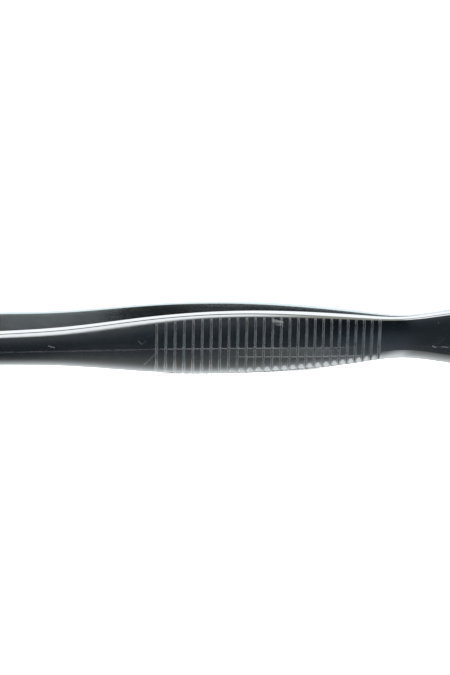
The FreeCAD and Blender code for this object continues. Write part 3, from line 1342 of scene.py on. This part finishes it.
@dataclass(frozen=True)
class GroundSteel(SteelFinish):
    """The inner faces: ground lengthwise, matt at the jaw and smoother towards the weld.

    Attributes:
        roughness: The roughness, stepped by X.
        painted_shade_share: The share of the colour that is left in the painted shade on the
            faces.
        painted_shade_span: The X where the painted shade begins, has come in, begins to fade and
            has faded.
        grain_height: How high the grain stands, in metres.
    """

    name: str = "ground_steel"
    grain: Grain = Grain(0.2, 4.0, 4.0, 0.12)
    roughness: Step = (-18.0, 2.0, 0.36, 0.23)
    painted_shade_share: float = 0.7
    painted_shade_span: Span = (-9.0, -2.0, 3.0, 9.0)
    grain_height: float = 0.0000003

    def surface(self, spot: Spot) -> tuple[Wire, Wire, Wire]:
        """What the ground steel is at each place.

        Args:
            spot: The place.

        Returns:
            Its colour, its roughness and its height in metres.
        """
        grain = self.grain.shown(spot)
        dark = self.tinted(*[self.painted_shade_share] * 3)
        # Painted shade: the inner faces are darker around X 0
        colour = spot.bench.blend(spot.x.within(*self.painted_shade_span), self.colour, dark)
        roughness = spot.x.step(*self.roughness) + (grain - 0.5) * self.grain.strength
        return colour, roughness, grain * self.grain_height


def grey(level: float, warmth: float = 0.0) -> Colour:
    """A linear grey, towards amber or, below zero, towards blue-green."""
    return (level * (1 + warmth), level, level * (1 - warmth))


def tones(*stops: tuple[float, ...]) -> Tones:
    """Stops of a place and a colour, each given as a grey's level and warmth, or in full."""
    colours = [tuple(parts) if len(parts) == 3 else grey(*parts) for _place, *parts in stops]
    return tuple((stop[0], colour) for stop, colour in zip(stops, colours))


# The light tent's dark back, and its bright top
TENT_BACK = tones(
    (-180, 0.16, -0.1), (-170, 0.06, -0.15), (-150, 0.04, -0.18), (-136, 0.12, -0.1),
    (-120, 0.4), (-95, 1.1),
)
TENT_TOP = tones((132, 1.45), (172, 1.45))


@dataclass(frozen=True)
class Studio:
    """A pale floor in a white light tent, with a dark front that the polished faces show.

    Attributes:
        floor_reach: Half the floor's width, in metres.
        floor_colour: The floor's linear grey.
        tent_light: The light that falls on the floor.
        tipward: What the steel mirrors round the Y-Z plane: degrees up from the front
            horizon, over the zenith to the back, and the colour there.
        middle: The same in directions that turn a little towards the heel.
        heelward: The same in directions that turn further.
        turns: How far a direction turns to +X where the first passes into the second, and
            the second into the third.
        sides: What the steel mirrors of the tent's two sides: how far up the direction
            points, from -1 to 1, and the colour there.
        side_turns: How far a direction turns to either side where the sides begin.
    """

    floor_reach: float = 3.0
    floor_colour: float = 0.9
    tent_light: float = 8.0
    tipward: Tones = (
        *TENT_BACK,
        *tones(
            (-74, 0.78), (-64, 0.58), (-57, 0.42), (-50, 0.27), (-44, 0.11),
            (-38, 0.052, -0.08), (-30, 0.026, -0.2), (-22, 0.024, -0.22), (-14, 0.03, -0.2),
            (-6, 0.048, -0.12), (2, 0.07, -0.08), (16, 0.08, -0.05), (22, 0.9), (27, 1.4),
            (82, 1.4), (90, 0.16, 0.13, 0.145), (121, 0.16, 0.13, 0.145),
        ),
        *TENT_TOP,
    )
    middle: Tones = (
        *TENT_BACK,
        *tones(
            (-74, 0.78), (-64, 0.54), (-57, 0.4), (-50, 0.25), (-44, 0.138, 0.145, 0.13),
            (-38, 0.1, 0.106, 0.096), (-31, 0.062, -0.08), (-24, 0.034, -0.16),
            (-16, 0.026, -0.22), (-6, 0.04, -0.2), (2, 0.062, -0.13), (24, 0.058, -0.1),
            (31, 0.8), (36, 1.3), (80, 1.3), (88, 0.12, 0.1, 0.11), (122, 0.12, 0.1, 0.11),
        ),
        *TENT_TOP,
    )
    heelward: Tones = (
        *TENT_BACK,
        *tones(
            (-70, 0.95), (-58, 0.75), (-52, 0.55), (-46, 0.34, -0.03), (-42, 0.17, -0.08),
            (-38, 0.088, -0.14), (-31, 0.076, -0.14), (-22, 0.044, -0.2), (-14, 0.019, -0.28),
            (0, 0.012, -0.3), (14, 0.012, -0.3), (24, 0.03, -0.1), (30, 0.24, 0.24, 0.2),
            (40, 0.42, 0.43, 0.36), (80, 0.42, 0.43, 0.36), (90, 0.3, 0.3, 0.26), (120, 0.5),
            (134, 1.45), (172, 1.45),
        ),
    )
    turns: Span = (0.06, 0.12, 0.14, 0.28)
    sides: Tones = tones(
        (-1.0, 1.0), (-0.66, 0.6), (-0.46, 0.22, -0.05), (-0.34, 0.12, -0.1),
        (-0.16, 0.09, -0.12), (-0.04, 0.2, -0.05), (0.1, 1.15), (1.0, 1.2),
    )
    side_turns: Pair = (0.45, 0.75)

    def build(self) -> None:
        """Lays the floor and lights it."""
        self._lay_floor()
        self._light()

    def _lay_floor(self) -> None:
        """A plain pale floor at the height of the forceps's lowest edge."""
        reach = self.floor_reach
        mesh = bpy.data.meshes.new("floor")
        corners = [(-reach, -reach, 0), (reach, -reach, 0), (reach, reach, 0), (-reach, reach, 0)]
        mesh.from_pydata(corners, [], [(0, 1, 2, 3)])
        floor = new_object(mesh)
        floor.visible_glossy = False
        material, bench = new_material("pale_floor")
        colour = (*grey(self.floor_colour), 1.0)
        shader = bench.wire("ShaderNodeBsdfDiffuse", sockets={"Color": colour})
        bench.node("ShaderNodeOutputMaterial", sockets={"Surface": shader})
        mesh.materials.append(material)

    @staticmethod
    def _toned(place: Wire, table: Tones, whole: float) -> Wire:
        """The tones at each place, where the table spans a whole with 0 in its middle."""
        stops = tuple((stop / whole + 0.5, colour) for stop, colour in table)
        return place.bench.wire("ShaderNodeValToRGB", {"stops": stops}, {"Fac": place})

    def _mirrored(self, bench: Bench) -> Wire:
        """What a mirroring surface sees in each direction.

        Args:
            bench: The world's tree.

        Returns:
            The colour.
        """
        across, back, up = bench.wire("ShaderNodeTexCoord", output="Generated").split()
        angle = bench.math("ARCTAN2", up, -back) / (2 * math.pi) + 0.5
        first, second, third = (
            self._toned(angle, table, 360) for table in (self.tipward, self.middle, self.heelward)
        )
        near = bench.blend(across.step(*self.turns[:2]), first, second)
        round_about = bench.blend(across.step(*self.turns[2:]), near, third)
        sides = self._toned(up / 2.0 + 0.5, self.sides, 2)
        return bench.blend(abs(across).step(*self.side_turns), round_about, sides)

    def _light(self) -> None:
        """White to the eye, even light for the floor, and the tent's tones for the steel."""
        world = bpy.data.worlds.new("light_tent")
        world.use_nodes = True
        world.cycles.sampling_method = "NONE"
        bench = Bench(world.node_tree)
        path = bench.node("ShaderNodeLightPath")
        seen = Wire(bench, path.outputs["Is Camera Ray"])
        mirrored = Wire(bench, path.outputs["Is Glossy Ray"])
        light = bench.blend(mirrored, grey(self.tent_light), self._mirrored(bench))
        colour = bench.blend(seen, light, grey(1.0))
        shader = bench.wire("ShaderNodeBackground", sockets={"Color": colour, "Strength": 1.0})
        bench.node("ShaderNodeOutputWorld", sockets={"Surface": shader})
        bpy.context.scene.world = world
        bpy.context.scene.view_settings.view_transform = "Standard"


@dataclass(frozen=True)
class PhotoCamera:
    """The camera, at the photograph's viewing angle.

    Attributes:
        target: The point in the middle of the frame, in metres.
        azimuth: Degrees round from the front, towards +X.
        elevation: Degrees above the floor.
        roll: Degrees that the picture is turned clockwise.
        distance: From the target, in metres.
        lens: The focal length, in millimetres.
        sensor: The sensor's long side, in millimetres.
        clip: The nearest and the farthest that it sees, in metres.
    """

    target: tuple[float, float, float] = (0.01268, 0.0, 0.00524)
    azimuth: float = -4.55
    elevation: float = 22.2
    roll: float = 1.434
    distance: float = 0.44
    lens: float = 141.3
    sensor: float = 36.0
    clip: Pair = (0.01, 20.0)

    def build(self) -> None:
        """Places the camera and makes it the scene's."""
        azimuth, elevation, roll = (
            math.radians(angle) for angle in (self.azimuth, self.elevation, self.roll)
        )
        flat = math.cos(elevation)
        back = Vector((math.sin(azimuth) * flat, -math.cos(azimuth) * flat, math.sin(elevation)))
        level = Vector((0, 0, 1)).cross(back).normalized()
        upright = back.cross(level)
        right = level * math.cos(roll) + upright * math.sin(roll)
        up = upright * math.cos(roll) - level * math.sin(roll)
        data = bpy.data.cameras.new("photo_camera")
        data.lens = self.lens
        data.sensor_width = self.sensor
        data.clip_start, data.clip_end = self.clip
        camera = new_object(data)
        turned = Matrix((right, up, back)).transposed().to_4x4()
        place = Vector(self.target) + back * self.distance
        camera.matrix_world = Matrix.Translation(place) @ turned
        bpy.context.scene.camera = camera


def main() -> None:
    """Builds the studio and both arms, and reports each piece."""
    logging.basicConfig(level=logging.INFO, format="%(name)s: %(message)s")
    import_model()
    Studio().build()
    PhotoCamera().build()
    rule = ArmRule(PolishedSteel().build(), GroundSteel().build())
    for side in Side:
        piece = ForgedArm(side).build(rule)
        LOG.info("%s: %d faces", piece.name, len(piece.data.polygons))


if __name__ == "__main__":
    main()
